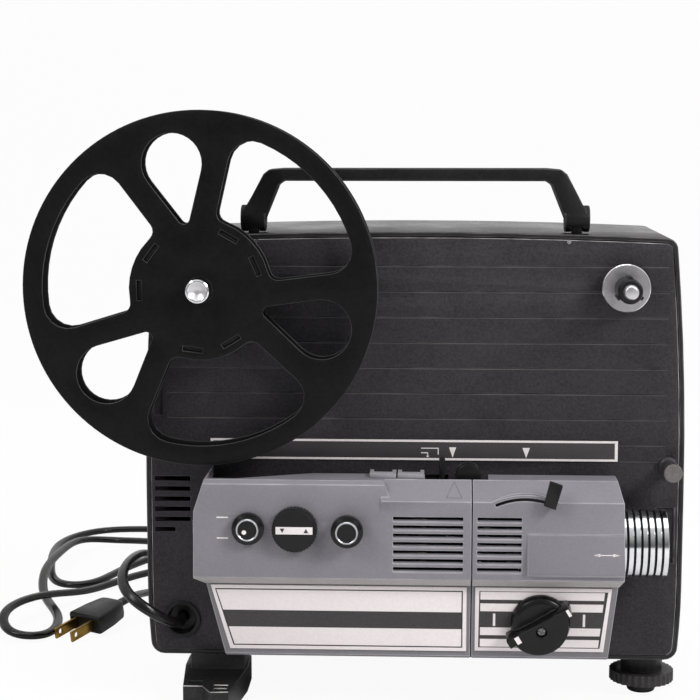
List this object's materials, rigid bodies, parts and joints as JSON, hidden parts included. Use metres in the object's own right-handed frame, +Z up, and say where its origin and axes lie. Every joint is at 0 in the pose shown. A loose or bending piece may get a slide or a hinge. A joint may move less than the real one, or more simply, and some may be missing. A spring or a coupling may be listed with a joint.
{
  "type": "movie projector",
  "caption": "Table-top cine projector: tall black case with carry handle, open film reel, grey film-path covers, zoom lens, control dial and levelling foot.",
  "frame": {"origin": "middle of the object's box on the floor that the feet stand on, the power cord left out", "axes": "+X the way the lens throws the picture, +Y from the front panel to the back of the case, +Z up"},
  "size_m": [0.3951, 0.4272, 0.3065],
  "materials": {
    "case_plastic": "black pebbled moulding",
    "panel_plastic": "dark charcoal grained panel",
    "reel_plastic": "black moulded reel",
    "grey_plastic": "satin mid grey",
    "black_plastic": "black controls",
    "print_white": "printed off-white plate",
    "print_black": "printed black strip",
    "chrome": "bright plated metal",
    "steel": "plain steel",
    "bronze": "sintered bronze",
    "brass": "brass blades",
    "rubber": "black rubber",
    "cord_rubber": "dark brown-black twin lead",
    "lens_glass": "coated lens glass",
    "lamp_glass": "reflector lamp",
    "ceramic": "white ceramic",
    "motor_paint": "grey painted steel",
    "switch_resin": "brown phenolic"
  },
  "bodies": {
    "projector": {"main_case": "case_plastic", "front_panel": "panel_plastic", "case_screws": "steel", "legend_strip": "print_black", "gate_cover": "grey_plastic", "lens_cover": "grey_plastic", "name_plate": "print_white", "control_plate": "print_white", "film_guide": "grey_plastic", "mechanism_plate": "steel", "shaft_bushes": "bronze", "bearing_bridge": "steel", "drive_motor": "motor_paint", "drive_belt": "rubber", "sprocket_belt": "rubber", "reel_belts": "rubber", "roller_axle": "steel", "projection_lamp": "lamp_glass", "lamp_socket": "ceramic", "gate_plate": "steel", "pressure_plate": "steel", "lens_holder": "black_plastic", "control_bushes": "steel", "rotary_switch": "switch_resin", "handle_brackets": "case_plastic", "handle_pins": "steel", "outrigger_foot": "case_plastic", "rear_feet": "rubber", "cord_grommet": "black_plastic", "power_cord": "cord_rubber", "plug_body": "cord_rubber", "plug_blades": "brass"},
    "takeup": {"takeup_spindle": "chrome", "takeup_disc": "chrome", "reel_rear_flange": "reel_plastic", "reel_core": "reel_plastic", "reel_front_flange": "reel_plastic"},
    "supply": {"supply_spindle": "black_plastic", "supply_disc": "chrome"},
    "main_drive": {"main_shaft": "steel", "flywheel": "steel", "drum_shutter": "black_plastic"},
    "motor_rotor": {"motor_shaft": "steel", "cooling_fan": "black_plastic"},
    "sprocket": {"film_sprocket": "black_plastic"},
    "roller": {"film_roller": "black_plastic"},
    "dial": {"control_knob": "black_plastic", "knob_screw": "steel"},
    "speed": {"speed_knob": "black_plastic"},
    "framer": {"framer_knob": "black_plastic"},
    "loop_key": {"loop_button": "black_plastic"},
    "focus": {"focus_lever": "black_plastic"},
    "lens": {"lens_barrel": "black_plastic", "rear_lens": "lens_glass"},
    "zoom": {"zoom_ring": "chrome", "front_lens": "lens_glass"},
    "gauge": {"gauge_lever": "black_plastic"},
    "carry_handle": {"handle": "case_plastic"},
    "foot_wheel": {"levelling_wheel": "case_plastic"},
    "foot_screw": {"levelling_screw": "black_plastic"}
  },
  "joints": [
    {"name": "takeup_spin", "type": "hinge", "parent": "projector", "child": "takeup", "pos_m": [-0.07838, -0.04965, 0.2175], "axis": [0, 1, 0], "continuous": true},
    {"name": "supply_spin", "type": "hinge", "parent": "projector", "child": "supply", "pos_m": [0.13512, -0.04965, 0.2175], "axis": [0, 1, 0], "continuous": true},
    {"name": "main_spin", "type": "hinge", "parent": "projector", "child": "main_drive", "pos_m": [0.04738, -0.02965, 0.0895], "axis": [0, 1, 0], "continuous": true},
    {"name": "motor_spin", "type": "hinge", "parent": "projector", "child": "motor_rotor", "pos_m": [-0.01562, 0.01035, 0.062], "axis": [0, 1, 0], "continuous": true},
    {"name": "sprocket_spin", "type": "hinge", "parent": "projector", "child": "sprocket", "pos_m": [0.05638, -0.04965, 0.1233], "axis": [0, 1, 0], "continuous": true},
    {"name": "roller_spin", "type": "hinge", "parent": "projector", "child": "roller", "pos_m": [0.15877, -0.03965, 0.1257], "axis": [0, 1, 0], "continuous": true},
    {"name": "control_turn", "type": "hinge", "parent": "projector", "child": "dial", "pos_m": [0.09267, -0.06016, 0.0513], "axis": [0, -0.9917, -0.1288], "range_deg": [-135, 135]},
    {"name": "speed_turn", "type": "hinge", "parent": "projector", "child": "speed", "pos_m": [-0.05332, -0.06965, 0.1], "axis": [0, 1, 0], "range_deg": [0, 60]},
    {"name": "framer_turn", "type": "hinge", "parent": "projector", "child": "framer", "pos_m": [-0.03002, -0.06965, 0.1], "axis": [0, 1, 0], "range_deg": [-40, 40]},
    {"name": "loop_push", "type": "slide", "parent": "projector", "child": "loop_key", "axis": [0, 1, 0], "range_m": [0, 0.004], "stiffness_N_per_m": 400},
    {"name": "focus_turn", "type": "hinge", "parent": "projector", "child": "focus", "pos_m": [0.08438, -0.06665, 0.0795], "axis": [0, 1, 0], "range_deg": [-38.5, 0.5]},
    {"name": "lens_slide", "type": "slide", "parent": "projector", "child": "lens", "axis": [1, 0, 0], "range_m": [0, 0.003]},
    {"name": "zoom_slide", "type": "slide", "parent": "lens", "child": "zoom", "axis": [1, 0, 0], "range_m": [-0.006, 0.004]},
    {"name": "gauge_slide", "type": "slide", "parent": "projector", "child": "gauge", "axis": [1, 0, 0], "range_m": [-0.006, 0]},
    {"name": "handle_fold", "type": "hinge", "parent": "projector", "child": "carry_handle", "pos_m": [0.02838, -0.01685, 0.2513], "axis": [-1, 0, 0], "range_deg": [0, 90]},
    {"name": "wheel_turn", "type": "hinge", "parent": "projector", "child": "foot_wheel", "pos_m": [0.14997, -0.00765, 0.009], "axis": [0, 0, 1], "range_deg": [-15, 1455]},
    {"name": "foot_extend", "type": "slide", "parent": "projector", "child": "foot_screw", "axis": [0, 0, -1], "range_m": [0, 0.01]}
  ],
  "couplings": [
    {"joint": "motor_spin", "follows": "main_spin", "ratio": 3.4286},
    {"joint": "sprocket_spin", "follows": "main_spin", "ratio": 0.33333},
    {"joint": "focus_turn", "follows": "lens_slide", "rad_per_m": -221.07},
    {"joint": "wheel_turn", "follows": "foot_extend", "rad_per_m": 2513.3}
  ]
}
